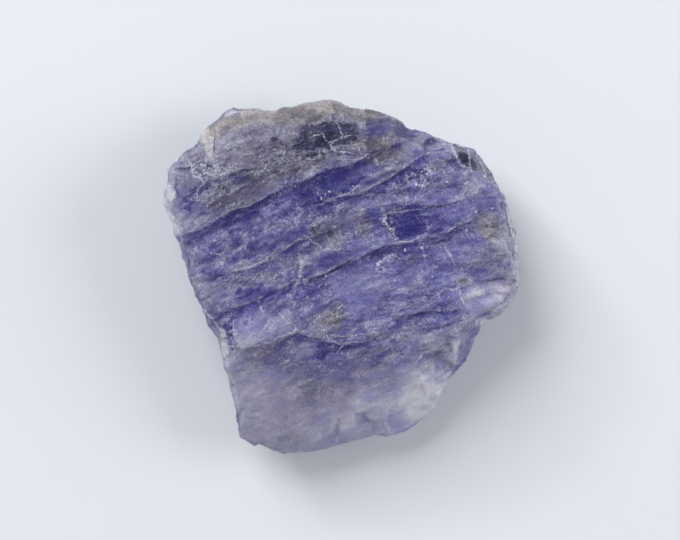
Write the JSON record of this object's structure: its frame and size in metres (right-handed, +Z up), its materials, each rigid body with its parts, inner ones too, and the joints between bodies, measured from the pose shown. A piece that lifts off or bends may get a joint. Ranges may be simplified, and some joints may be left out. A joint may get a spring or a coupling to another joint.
{
  "type": "iolite crystal",
  "caption": "Rough iolite crystal: a translucent violet-blue banded broken plate with ledges, clean flats and a ragged chipped rim, lying on its back.",
  "frame": {"origin": "middle of the crystal's box, on the surface that the crystal rests on", "axes": "+Z up, out of the broad banded face, the crystal's thin direction; +X to the right and +Y to the top of that face, as the picture shows it"},
  "size_m": [0.02, 0.0199, 0.0055],
  "materials": {
    "iolite": "translucent violet-blue stone, glossy on clean breaks and frosted on grainy ones"
  },
  "bodies": {
    "root": {"iolite_crystal": "iolite"}
  },
  "joints": []
}
